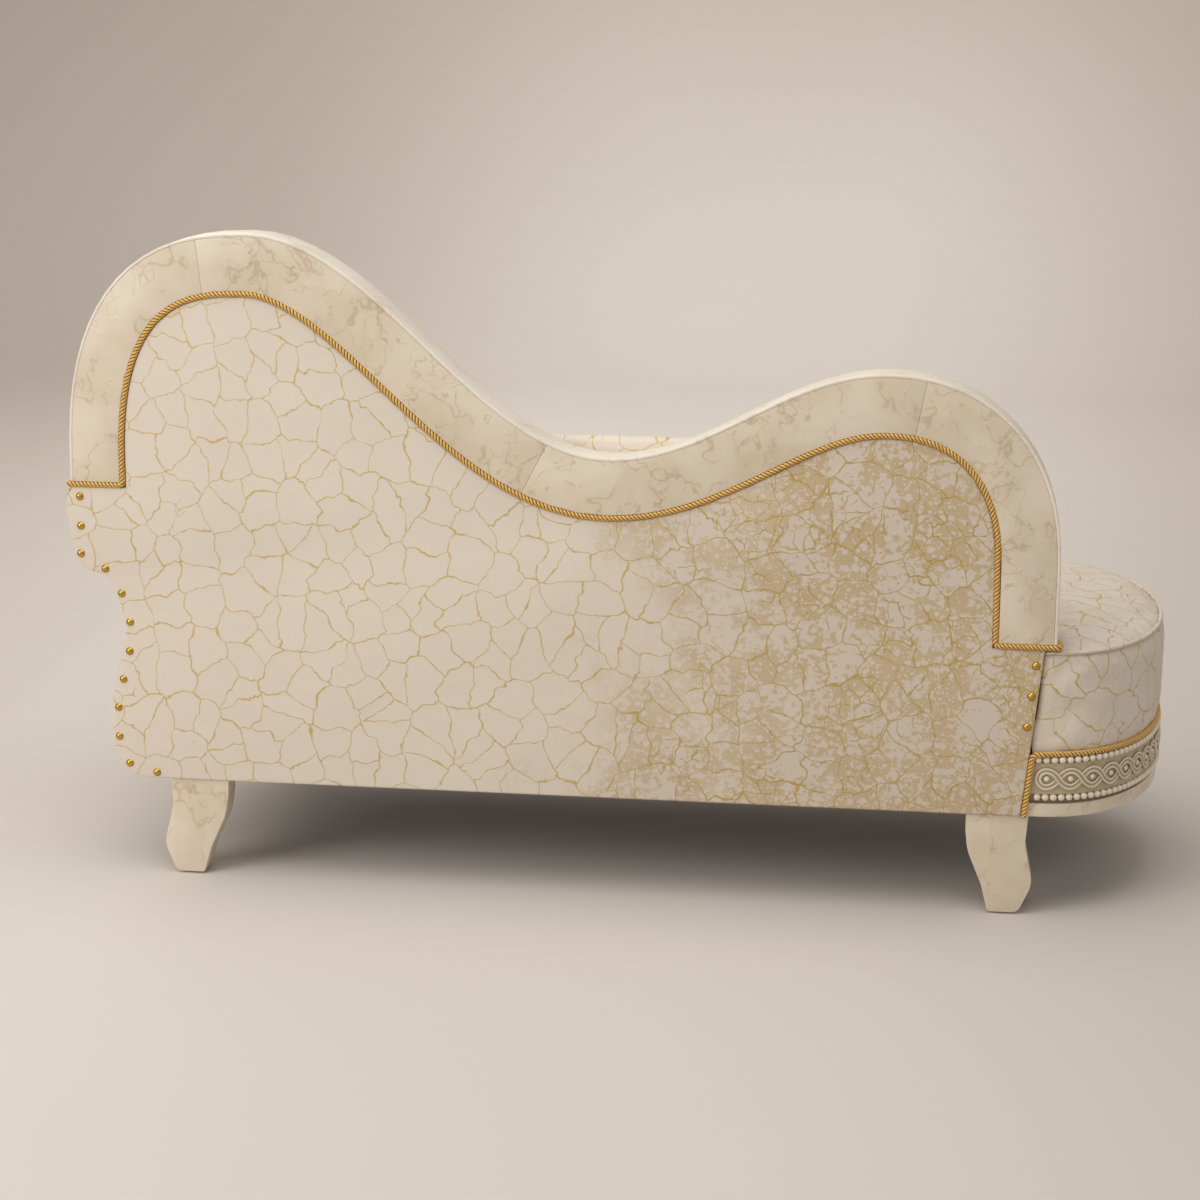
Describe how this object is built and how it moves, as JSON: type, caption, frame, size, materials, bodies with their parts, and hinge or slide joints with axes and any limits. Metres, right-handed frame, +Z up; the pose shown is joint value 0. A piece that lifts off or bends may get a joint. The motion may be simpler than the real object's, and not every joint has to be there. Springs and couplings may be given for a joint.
{
  "type": "fainting couch",
  "caption": "Free-standing fainting couch: tufted double-hump back, scrolled arm at the head, rounded foot end with carved moulding, flat sabre legs.",
  "frame": {"origin": "middle of the couch's length and depth at floor level", "axes": "+X towards the head end with the scrolled arm, +Y towards the outside back, +Z up"},
  "size_m": [1.689, 0.62, 1.01],
  "materials": {
    "marble": "satin marble-look lacquer, cream with thin brown veins",
    "marble_edge": "satin marble-look lacquer, lighter, on the crest's top edge",
    "carved": "carved, pearly cream paint with darker hollows",
    "fabric": "cream upholstery cloth with thin gold crackle lines",
    "gold_rope": "twisted gold cord",
    "brass": "polished domed nail heads",
    "steel": "plain bolts",
    "timber": "sawn timber and plywood",
    "jute": "jute webbing and hessian",
    "black_cloth": "black dust cloth",
    "foam": "upholstery foam",
    "glide": "brown plastic glide"
  },
  "bodies": {
    "root": {"leg_rear_head": "marble", "leg_rear_foot": "marble", "leg_front_head": "marble", "leg_front_foot": "marble", "foot_glides": "glide", "leg_bolts": "steel", "rail_rear": "timber", "rail_front": "timber", "rail_head": "timber", "end_rail_rear": "timber", "end_rail_mid": "timber", "end_rail_front": "timber", "cross_rails": "timber", "corner_blocks": "timber", "webbing_cross": "jute", "webbing_long": "jute", "deck_cloth": "jute", "dust_cover": "black_cloth", "seat_foam": "foam", "seat_cover": "fabric", "seat_border": "fabric", "seat_piping": "fabric", "plinth_strip": "marble", "moulding_ground": "carved", "bead_row_upper": "carved", "bead_row_lower": "carved", "guilloche_bands": "carved", "guilloche_bosses": "carved", "end_rope": "gold_rope", "back_board": "timber", "back_posts": "timber", "crest_rail_foot": "timber", "crest_rail_mid": "timber", "crest_rail_head": "timber", "back_hessian": "jute", "crest_facing_foot": "marble", "crest_facing_low": "marble", "crest_facing_high": "marble", "crest_facing_head": "marble", "crest_edge": "marble_edge", "back_panel": "fabric", "back_rope": "gold_rope", "nails_head": "brass", "nails_foot": "brass", "back_pad": "fabric", "head_pad": "fabric", "back_buttons": "fabric", "arm_former_rear": "timber", "arm_former_front": "timber", "arm_side_rib": "timber", "arm_rails": "timber", "arm_pad": "foam", "arm_cover": "fabric", "arm_facing": "fabric", "arm_rope": "gold_rope"}
  },
  "joints": []
}
